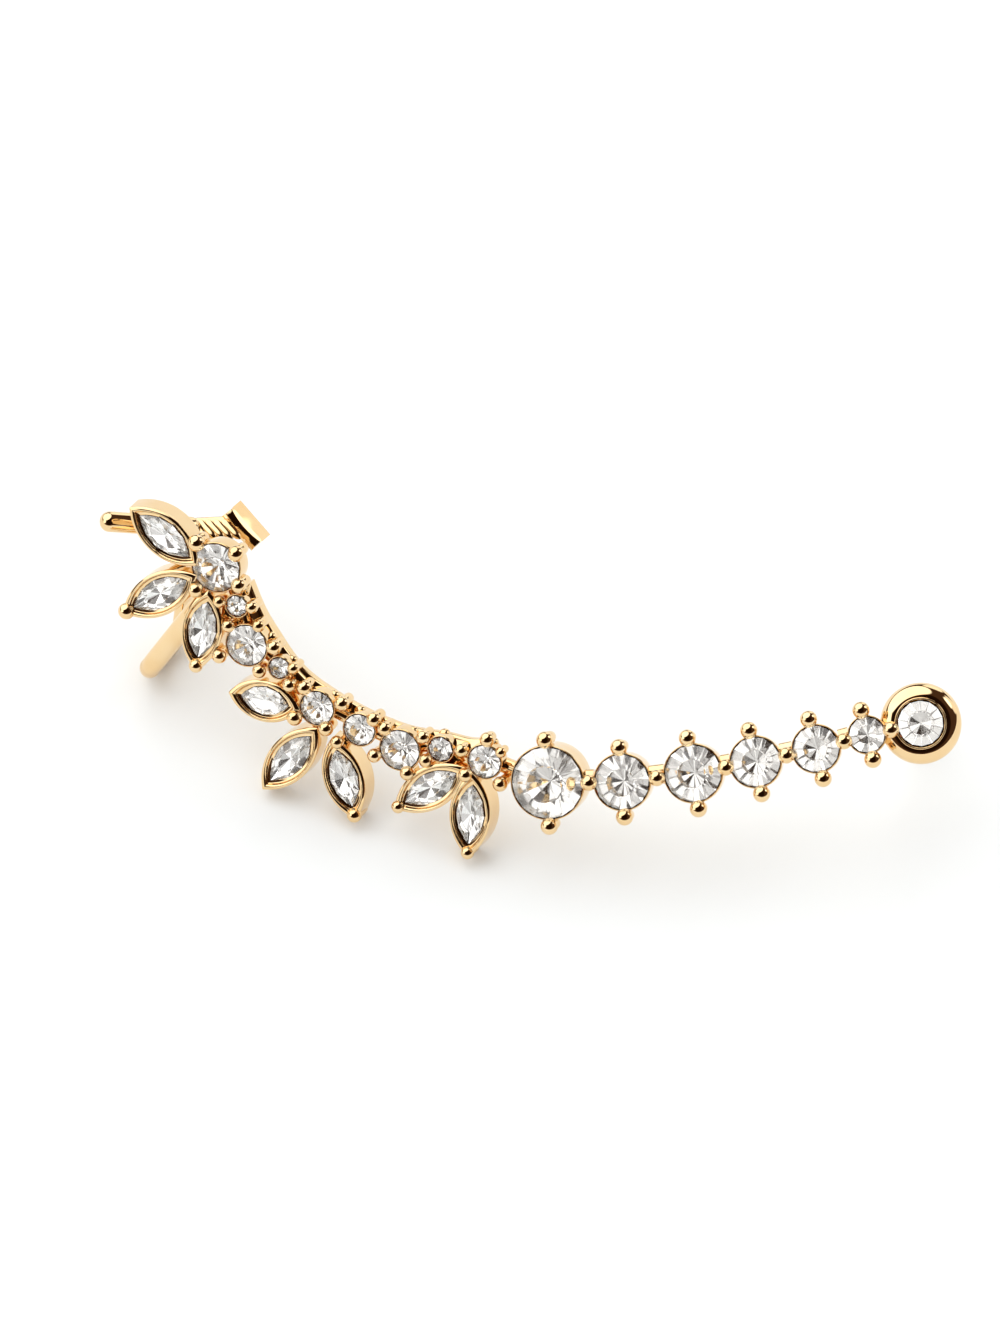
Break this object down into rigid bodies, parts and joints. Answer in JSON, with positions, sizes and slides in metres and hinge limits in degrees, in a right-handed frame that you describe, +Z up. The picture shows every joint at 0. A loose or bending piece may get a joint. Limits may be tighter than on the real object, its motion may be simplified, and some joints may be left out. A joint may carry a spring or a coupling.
{
  "type": "ear climber",
  "caption": "Ear climber: a curved row of round crystals in prong cups, a cluster of pointed crystals at one end and a domed end setting, with a wire ear clip and a post.",
  "frame": {"origin": "middle of the outline's box, on the floor that the climber lies on", "axes": "+X along the row towards the domed end, +Z up; the stones face up and towards -Y"},
  "size_m": [0.0494, 0.0214, 0.0133],
  "materials": {
    "gold": "polished yellow gold plating",
    "crystal": "clear faceted crystal, foil backed"
  },
  "bodies": {
    "root": {"frame": "gold", "ear_clip": "gold", "ear_post": "gold", "stone_1": "crystal", "stone_2": "crystal", "stone_3": "crystal", "stone_4": "crystal", "stone_5": "crystal", "stone_6": "crystal", "stone_7": "crystal", "stone_8": "crystal", "stone_9": "crystal", "stone_10": "crystal", "stone_11": "crystal", "stone_12": "crystal", "stone_13": "crystal", "stone_14": "crystal", "stone_15": "crystal", "stone_16": "crystal", "leaf_stone_1": "crystal", "leaf_stone_2": "crystal", "leaf_stone_3": "crystal", "leaf_stone_4": "crystal", "leaf_stone_5": "crystal", "leaf_stone_6": "crystal", "leaf_stone_7": "crystal", "leaf_stone_8": "crystal"}
  },
  "joints": []
}
